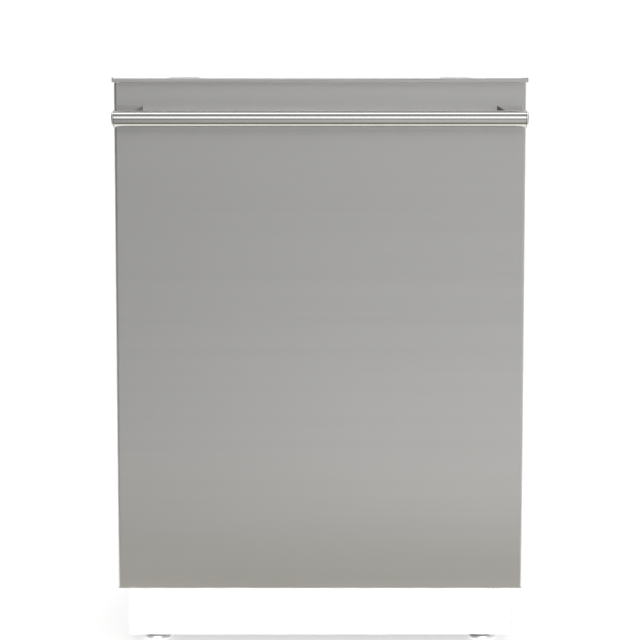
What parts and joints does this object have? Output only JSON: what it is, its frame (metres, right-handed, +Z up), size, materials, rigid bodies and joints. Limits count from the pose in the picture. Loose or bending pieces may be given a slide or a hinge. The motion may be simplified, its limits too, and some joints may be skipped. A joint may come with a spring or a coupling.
{
  "type": "built-in dishwasher",
  "caption": "Built-in dishwasher with a flat brushed steel drop-down door, polished bar handle, forward top lip, sliding racks and spray arms behind it.",
  "frame": {"origin": "on the floor, under the middle of the machine's box", "axes": "+X to the right of someone facing the door, -Y out of the door towards that person, +Z up"},
  "size_m": [0.6, 0.64, 0.86],
  "materials": {
    "brushed": "brushed along X, satin",
    "handle_steel": "polished",
    "tub_steel": "bright satin",
    "zinc": "zinc plated",
    "grey_plastic": "moulded",
    "light_plastic": "moulded",
    "black_plastic": "moulded",
    "white_paint": "powder coat",
    "rubber": "soft seal",
    "felt": "damping felt",
    "coated_wire": "nylon coated wire",
    "circuit": "circuit board"
  },
  "bodies": {
    "cabinet": {"tub": "tub_steel", "tub_gasket": "rubber", "base_pan": "black_plastic", "toe_kick": "white_paint", "sound_blanket": "felt", "strike_plate": "zinc", "hinge_bracket_left": "zinc", "hinge_bracket_right": "zinc", "door_spring_left": "zinc", "door_spring_right": "zinc", "top_bracket_left": "zinc", "top_bracket_right": "zinc", "upper_rail_left": "tub_steel", "upper_rail_right": "tub_steel", "sump": "grey_plastic", "fine_filter": "tub_steel", "feed_tube": "grey_plastic", "circulation_pump": "black_plastic", "drain_pump": "black_plastic", "inlet_valve": "light_plastic", "junction_box": "zinc"},
    "detergent_lid": {"detergent_lid": "grey_plastic"},
    "rinse_aid_cap": {"rinse_aid_cap": "grey_plastic"},
    "door_latch": {"door_latch": "grey_plastic"},
    "power_button": {"power_button": "brushed"},
    "start_button": {"start_button": "brushed"},
    "foot_front_left": {"levelling_foot_front_left": "zinc"},
    "foot_front_right": {"levelling_foot_front_right": "zinc"},
    "foot_rear_left": {"levelling_foot_rear_left": "zinc"},
    "foot_rear_right": {"levelling_foot_rear_right": "zinc"},
    "coarse_filter": {"coarse_filter": "light_plastic"},
    "float": {"float": "light_plastic"},
    "lower_spray_arm": {"lower_spray_arm": "grey_plastic"},
    "mid_spray_arm": {"mid_spray_arm": "grey_plastic"},
    "top_spray_arm": {"top_spray_arm": "grey_plastic"},
    "lower_rack": {"lower_rack": "coated_wire"},
    "folding_tines": {"folding_tines": "coated_wire"},
    "cutlery_basket": {"cutlery_basket": "grey_plastic"},
    "wheel_front_left": {"rack_wheel_front_left": "grey_plastic"},
    "wheel_front_right": {"rack_wheel_front_right": "grey_plastic"},
    "wheel_rear_left": {"rack_wheel_rear_left": "grey_plastic"},
    "wheel_rear_right": {"rack_wheel_rear_right": "grey_plastic"},
    "upper_rack": {"upper_rack": "coated_wire", "rack_runner_left": "tub_steel", "rack_runner_right": "tub_steel", "upper_feed_pipe": "grey_plastic"},
    "cup_shelf": {"cup_shelf": "coated_wire"},
    "door": {"outer_panel": "brushed", "top_trim": "brushed", "door_liner": "tub_steel", "door_insulation": "felt", "handle_bar": "handle_steel", "handle_bracket_left": "handle_steel", "handle_bracket_right": "handle_steel", "handle_cap_left": "handle_steel", "handle_cap_right": "handle_steel", "dispenser": "light_plastic", "control_board": "circuit", "hinge_arm_left": "zinc", "hinge_arm_right": "zinc"}
  },
  "joints": [
    {"name": "door_hinge", "type": "hinge", "parent": "cabinet", "child": "door", "pos_m": [0, -0.2325, 0.16], "axis": [1, 0, 0], "range_deg": [0, 90], "stiffness_Nm_per_rad": 26, "springref_deg": -8.59, "deforming": ["door_spring_left", "door_spring_right"]},
    {"name": "foot_front_left_screw", "type": "slide", "parent": "cabinet", "child": "foot_front_left", "axis": [0, 0, -1], "range_m": [0, 0.045]},
    {"name": "foot_front_right_screw", "type": "slide", "parent": "cabinet", "child": "foot_front_right", "axis": [0, 0, -1], "range_m": [0, 0.045]},
    {"name": "foot_rear_left_screw", "type": "slide", "parent": "cabinet", "child": "foot_rear_left", "axis": [0, 0, -1], "range_m": [0, 0.045]},
    {"name": "foot_rear_right_screw", "type": "slide", "parent": "cabinet", "child": "foot_rear_right", "axis": [0, 0, -1], "range_m": [0, 0.045]},
    {"name": "coarse_filter_twist", "type": "hinge", "parent": "cabinet", "child": "coarse_filter", "pos_m": [0, -0.045, 0.18], "axis": [0, 0, 1], "range_deg": [0, 90]},
    {"name": "float_rise", "type": "slide", "parent": "cabinet", "child": "float", "axis": [0, 0, 1], "range_m": [0, 0.012]},
    {"name": "lower_spray_arm_spin", "type": "hinge", "parent": "cabinet", "child": "lower_spray_arm", "pos_m": [0, 0.04, 0.21], "axis": [0, 0, 1], "continuous": true},
    {"name": "top_spray_arm_spin", "type": "hinge", "parent": "cabinet", "child": "top_spray_arm", "pos_m": [0, 0.04, 0.82], "axis": [0, 0, 1], "continuous": true},
    {"name": "lower_rack_slide", "type": "slide", "parent": "cabinet", "child": "lower_rack", "axis": [0, -1, 0], "range_m": [0, 0.0786]},
    {"name": "wheel_front_left_spin", "type": "hinge", "parent": "lower_rack", "child": "wheel_front_left", "pos_m": [-0.2495, -0.14, 0.2109], "axis": [1, 0, 0], "continuous": true},
    {"name": "wheel_front_right_spin", "type": "hinge", "parent": "lower_rack", "child": "wheel_front_right", "pos_m": [0.2495, -0.14, 0.2109], "axis": [1, 0, 0], "continuous": true},
    {"name": "wheel_rear_left_spin", "type": "hinge", "parent": "lower_rack", "child": "wheel_rear_left", "pos_m": [-0.2495, 0.2, 0.2109], "axis": [1, 0, 0], "continuous": true},
    {"name": "wheel_rear_right_spin", "type": "hinge", "parent": "lower_rack", "child": "wheel_rear_right", "pos_m": [0.2495, 0.2, 0.2109], "axis": [1, 0, 0], "continuous": true},
    {"name": "folding_tines_fold", "type": "hinge", "parent": "lower_rack", "child": "folding_tines", "pos_m": [0, 0, 0.245], "axis": [0, 1, 0], "range_deg": [0, 85]},
    {"name": "cutlery_basket_lift", "type": "slide", "parent": "lower_rack", "child": "cutlery_basket", "axis": [0, 0, 1], "range_m": [0, 0.09]},
    {"name": "upper_rack_slide", "type": "slide", "parent": "cabinet", "child": "upper_rack", "axis": [0, -1, 0], "range_m": [0, 0.377]},
    {"name": "mid_spray_arm_spin", "type": "hinge", "parent": "upper_rack", "child": "mid_spray_arm", "pos_m": [0, 0.04, 0.505], "axis": [0, 0, 1], "continuous": true},
    {"name": "cup_shelf_fold", "type": "hinge", "parent": "upper_rack", "child": "cup_shelf", "pos_m": [0.248, 0, 0.6], "axis": [0, 1, 0], "range_deg": [0, 80]},
    {"name": "detergent_lid_slide", "type": "slide", "parent": "door", "child": "detergent_lid", "axis": [1, 0, 0], "range_m": [0, 0.07]},
    {"name": "rinse_aid_cap_twist", "type": "hinge", "parent": "door", "child": "rinse_aid_cap", "pos_m": [0.112, -0.2015, 0.5], "axis": [0, -1, 0], "range_deg": [0, 90]},
    {"name": "door_latch_lift", "type": "hinge", "parent": "door", "child": "door_latch", "pos_m": [0, -0.248, 0.843], "axis": [1, 0, 0], "range_deg": [0, 12], "stiffness_Nm_per_rad": 0.6, "springref_deg": -17.19},
    {"name": "power_button_press", "type": "slide", "parent": "door", "child": "power_button", "axis": [0, 0, -1], "range_m": [0, 0.0015], "stiffness_N_per_m": 800, "springref_m": -0.0005},
    {"name": "start_button_press", "type": "slide", "parent": "door", "child": "start_button", "axis": [0, 0, -1], "range_m": [0, 0.0015], "stiffness_N_per_m": 800, "springref_m": -0.0005}
  ],
  "couplings": [
    {"joint": "upper_rack_slide", "follows": "door_hinge", "m_per_rad": 0.24},
    {"joint": "lower_rack_slide", "follows": "door_hinge", "m_per_rad": 0.05}
  ]
}
